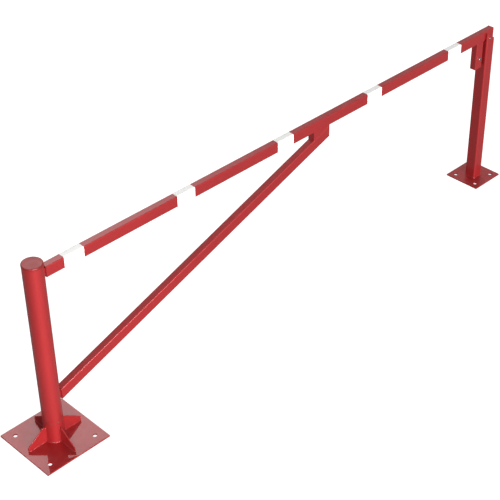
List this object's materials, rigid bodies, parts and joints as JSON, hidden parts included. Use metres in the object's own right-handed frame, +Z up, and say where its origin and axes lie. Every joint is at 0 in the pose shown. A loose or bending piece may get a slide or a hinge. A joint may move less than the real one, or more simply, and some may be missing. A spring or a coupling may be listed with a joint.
{
  "type": "parking barrier gate",
  "caption": "Manual swing gate for a parking entrance: tubular hinge post with gussets, braced beam with white bands, key lock and a square latch post.",
  "frame": {"origin": "hinge axis at the ground, the centre of the hinge base plate's underside", "axes": "+X along the closed beam toward the latch post, +Y the side the gate opens to, +Z up"},
  "size_m": [3.592, 0.38, 1.0543],
  "materials": {
    "red_paint": "gloss red enamel over steel",
    "white_film": "white reflective film",
    "bare_steel": "zinc plated steel",
    "bush_plastic": "black bearing plastic",
    "black_rubber": "moulded rubber"
  },
  "bodies": {
    "posts": {"hinge_base_plate": "red_paint", "foot_tube": "red_paint", "foot_gussets": "red_paint", "pivot_tube": "red_paint", "pivot_head": "red_paint", "retaining_washer": "bare_steel", "retaining_bolt": "bare_steel", "thrust_washer": "bush_plastic", "latch_base_plate": "red_paint", "latch_post": "red_paint", "rest_plate": "red_paint", "rest_pad": "black_rubber", "stop_horn": "red_paint", "stop_buffer": "black_rubber", "buffer_screw": "bare_steel", "lock_keeper": "red_paint"},
    "gate": {"hinge_sleeve": "red_paint", "lower_bush": "bush_plastic", "upper_bush": "bush_plastic", "post_cap": "red_paint", "beam_root_pad": "red_paint", "brace_root_pad": "red_paint", "beam_root_plate": "red_paint", "beam_tube": "red_paint", "beam_end_plate": "red_paint", "reflective_bands": "white_film", "brace_tube": "red_paint", "brace_root_plate": "red_paint", "brace_head_plate": "red_paint", "brace_head_block": "red_paint", "lock_housing": "red_paint", "lock_bottom_plate": "red_paint", "spindle_bearing": "bare_steel", "bolt_guide": "bare_steel"},
    "key_spindle": {"lock_spindle": "bare_steel", "lock_crank": "bare_steel", "crank_pin": "bare_steel"},
    "bolt": {"lock_bolt": "bare_steel"}
  },
  "joints": [
    {"name": "gate_swing", "type": "hinge", "parent": "posts", "child": "gate", "pos_m": [0, 0, 0], "axis": [0, 0, 1], "range_deg": [0, 180]},
    {"name": "key_turn", "type": "hinge", "parent": "gate", "child": "key_spindle", "pos_m": [3.208, 0, 0.85], "axis": [0, -1, 0], "range_deg": [0, 92]},
    {"name": "bolt_throw", "type": "slide", "parent": "gate", "child": "bolt", "axis": [1, 0, 0], "range_m": [0, 0.01061]}
  ],
  "couplings": [
    {"joint": "key_turn", "follows": "bolt_throw", "rad_per_m": 148.09}
  ]
}
